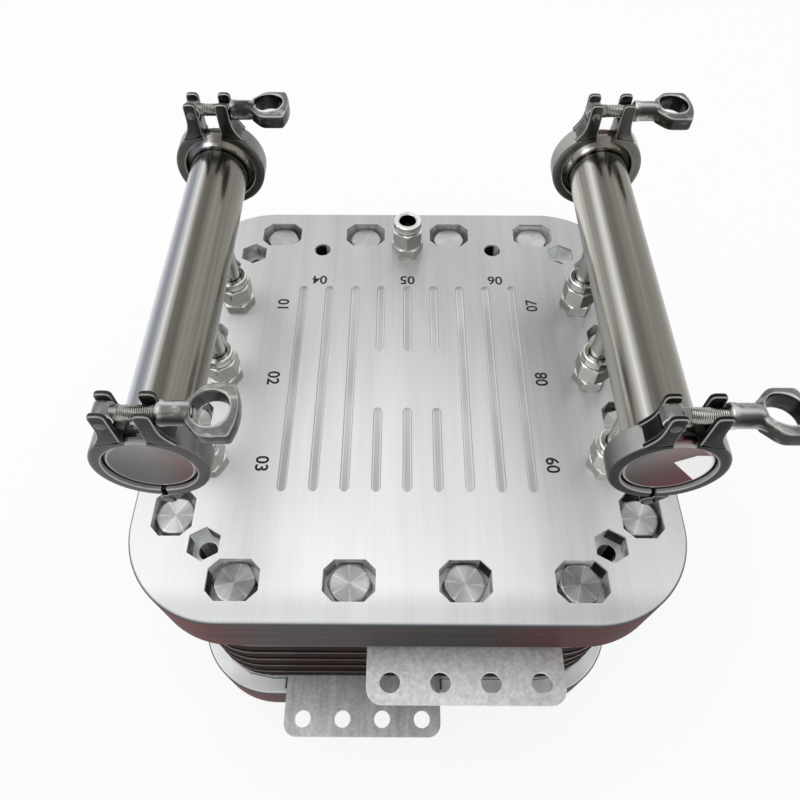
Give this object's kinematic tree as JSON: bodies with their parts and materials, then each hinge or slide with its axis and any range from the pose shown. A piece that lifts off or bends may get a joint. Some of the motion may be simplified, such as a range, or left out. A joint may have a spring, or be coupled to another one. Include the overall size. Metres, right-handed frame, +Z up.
{
  "type": "pem electrolyzer",
  "caption": "Square water electrolyzer stack: thick steel end plates, tie bolts, front current tabs and pipe manifolds with clamped blank ends above the top plate.",
  "frame": {"origin": "centre of the lower end plate's underside", "axes": "+Z up through the stack towards the manifolds, front with both current tabs towards -Y, +X to the right"},
  "size_m": [0.3579, 0.383, 0.3918],
  "materials": {
    "plate_steel": "brushed",
    "insulator": "matt",
    "collector": "brushed",
    "cell_frame": "satin",
    "bipolar": "satin",
    "membrane": "matt",
    "felt": "matt",
    "bolt_steel": "turned",
    "fitting_steel": "turned",
    "tube_steel": "polished",
    "gasket": "matt",
    "cap_steel": "polished",
    "clamp_cast": "cast and tumbled",
    "clamp_bolt_steel": "turned"
  },
  "bodies": {
    "stack": {"anode_felts": "felt", "bipolar_plates": "bipolar", "bottom_end_plate": "plate_steel", "cathode_felts": "felt", "cell_frames": "cell_frame", "gas_fitting_body": "fitting_steel", "gas_fitting_nut": "fitting_steel", "inlet_fitting_1_body": "fitting_steel", "inlet_fitting_1_nut": "fitting_steel", "inlet_fitting_2_body": "fitting_steel", "inlet_fitting_2_nut": "fitting_steel", "inlet_fitting_3_body": "fitting_steel", "inlet_fitting_3_nut": "fitting_steel", "inlet_manifold": "tube_steel", "left_back_bolt_half": "clamp_cast", "left_back_end_cap": "cap_steel", "left_back_gasket": "gasket", "left_back_nut_half": "clamp_cast", "left_back_swing_bolt": "clamp_bolt_steel", "left_front_bolt_half": "clamp_cast", "left_front_end_cap": "cap_steel", "left_front_gasket": "gasket", "left_front_nut_half": "clamp_cast", "left_front_swing_bolt": "clamp_bolt_steel", "lower_collector": "collector", "lower_insulator": "insulator", "membranes": "membrane", "outlet_fitting_1_body": "fitting_steel", "outlet_fitting_1_nut": "fitting_steel", "outlet_fitting_2_body": "fitting_steel", "outlet_fitting_2_nut": "fitting_steel", "outlet_fitting_3_body": "fitting_steel", "outlet_fitting_3_nut": "fitting_steel", "outlet_manifold": "tube_steel", "right_back_bolt_half": "clamp_cast", "right_back_end_cap": "cap_steel", "right_back_gasket": "gasket", "right_back_nut_half": "clamp_cast", "right_back_swing_bolt": "clamp_bolt_steel", "right_front_bolt_half": "clamp_cast", "right_front_end_cap": "cap_steel", "right_front_gasket": "gasket", "right_front_nut_half": "clamp_cast", "right_front_swing_bolt": "clamp_bolt_steel", "tie_bolts": "bolt_steel", "top_end_plate": "plate_steel", "upper_collector": "collector", "upper_insulator": "insulator"},
    "left_back_wing_nut": {"left_back_wing_nut": "clamp_bolt_steel"},
    "left_front_wing_nut": {"left_front_wing_nut": "clamp_bolt_steel"},
    "right_back_wing_nut": {"right_back_wing_nut": "clamp_bolt_steel"},
    "right_front_wing_nut": {"right_front_wing_nut": "clamp_bolt_steel"}
  },
  "joints": [
    {"name": "left_back_wing_nut_turn", "type": "hinge", "parent": "stack", "child": "left_back_wing_nut", "pos_m": [-0.1159, 0.117, 0.3838], "axis": [1, 0, 0], "range_deg": [0, 1080]},
    {"name": "left_front_wing_nut_turn", "type": "hinge", "parent": "stack", "child": "left_front_wing_nut", "pos_m": [-0.1159, -0.117, 0.3838], "axis": [1, 0, 0], "range_deg": [0, 1080]},
    {"name": "right_back_wing_nut_turn", "type": "hinge", "parent": "stack", "child": "right_back_wing_nut", "pos_m": [0.1449, 0.117, 0.3838], "axis": [1, 0, 0], "range_deg": [0, 1080]},
    {"name": "right_front_wing_nut_turn", "type": "hinge", "parent": "stack", "child": "right_front_wing_nut", "pos_m": [0.1449, -0.117, 0.3838], "axis": [1, 0, 0], "range_deg": [0, 1080]}
  ]
}
